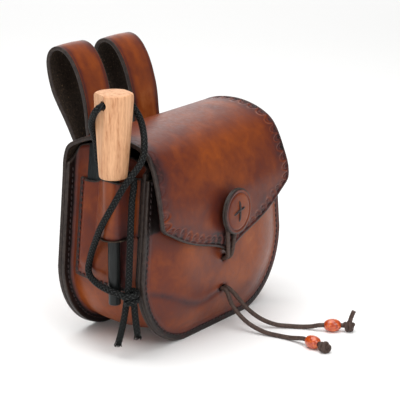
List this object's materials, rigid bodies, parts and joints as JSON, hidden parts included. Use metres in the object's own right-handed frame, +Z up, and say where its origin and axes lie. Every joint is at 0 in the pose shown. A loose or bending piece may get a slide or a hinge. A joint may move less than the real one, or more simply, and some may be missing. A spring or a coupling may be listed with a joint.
{
  "type": "hunting pouch",
  "caption": "Moulded brown leather belt pouch with a pointed flap, a button on a lace loop, belt loops and a side sheath holding a fire steel and its striker.",
  "frame": {"origin": "middle of the bottom edge of the back panel, on the surface that the pouch stands on", "axes": "+Z up, -Y out of the front of the pouch, +X to the right of someone who faces the front"},
  "size_m": [0.1826, 0.2064, 0.1862],
  "materials": {
    "saddle_leather": "hand-dyed brown, antiqued and glossy, with dark burnished edges",
    "lace_leather": "dark brown waxed round lace",
    "cord": "black braided cord",
    "bead_wood": "orange-red lacquered wood",
    "beech": "pale oiled beech",
    "ferro_rod": "satin dark grey ferrocerium",
    "striker_steel": "black oxide on steel"
  },
  "bodies": {
    "root": {"back_flap": "saddle_leather", "front_panel": "saddle_leather", "gusset": "saddle_leather", "sheath_patch": "saddle_leather", "belt_loop_left": "saddle_leather", "belt_loop_right": "saddle_leather", "button": "saddle_leather", "button_post": "lace_leather", "closure_loop": "lace_leather", "lace_upper": "lace_leather", "lace_lower": "lace_leather", "lace_knot_upper": "lace_leather", "lace_knot_lower": "lace_leather", "lanyard_left": "cord", "lanyard_right": "cord", "lanyard_knot": "cord", "lanyard_tail_left": "cord", "lanyard_tail_right": "cord", "bead_upper": "bead_wood", "bead_lower": "bead_wood", "fire_steel_handle": "beech", "fire_steel_rod": "ferro_rod", "striker_plate": "striker_steel"}
  },
  "joints": []
}
